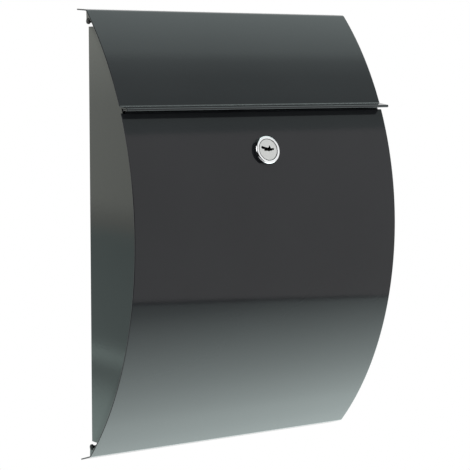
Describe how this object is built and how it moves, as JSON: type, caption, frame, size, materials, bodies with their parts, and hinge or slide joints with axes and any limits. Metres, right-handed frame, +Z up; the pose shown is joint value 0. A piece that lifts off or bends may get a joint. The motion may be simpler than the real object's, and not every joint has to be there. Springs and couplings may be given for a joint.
{
  "type": "wall mounted mailbox",
  "caption": "Wall mounted sheet steel mailbox with a curved front: a top hinged letter flap with a turned out lip above a bottom hinged door with a cam lock.",
  "frame": {"origin": "centre of the four wall screw holes, in the plane of the wall", "axes": "+X to the right seen from the front, +Y into the wall, +Z up"},
  "size_m": [0.2912, 0.1043, 0.4097],
  "materials": {
    "sheet": "glossy anthracite powder coat",
    "black_steel": "satin black",
    "chrome": "polished",
    "zinc": "satin zinc plating",
    "brass": "satin",
    "rubber": "matte"
  },
  "bodies": {
    "casing": {"casing": "sheet", "wall_rail_top": "sheet", "wall_rail_bottom": "sheet", "letter_rail": "sheet", "door_buffers": "rubber", "flap_rod": "black_steel", "flap_rod_washers": "black_steel", "door_rod": "black_steel", "door_rod_washers": "black_steel"},
    "flap": {"flap": "sheet"},
    "door": {"door": "sheet", "lock_housing": "chrome", "lock_washer": "zinc", "lock_nut": "zinc"},
    "lock": {"lock_cylinder": "chrome", "lock_wafers": "brass", "wafer_springs": "zinc", "lock_cam": "zinc", "cam_washer": "zinc", "cam_screw": "zinc"}
  },
  "joints": [
    {"name": "flap_hinge", "type": "hinge", "parent": "casing", "child": "flap", "pos_m": [0, -0.02601, 0.1915], "axis": [-1, 0, 0], "range_deg": [0, 104]},
    {"name": "door_hinge", "type": "hinge", "parent": "casing", "child": "door", "pos_m": [0, -0.02601, -0.1915], "axis": [1, 0, 0], "range_deg": [0, 106]},
    {"name": "lock_turn", "type": "hinge", "parent": "door", "child": "lock", "pos_m": [0, -0.09426, 0.0759], "axis": [0, -0.9656, 0.2601], "range_deg": [0, 90]}
  ]
}
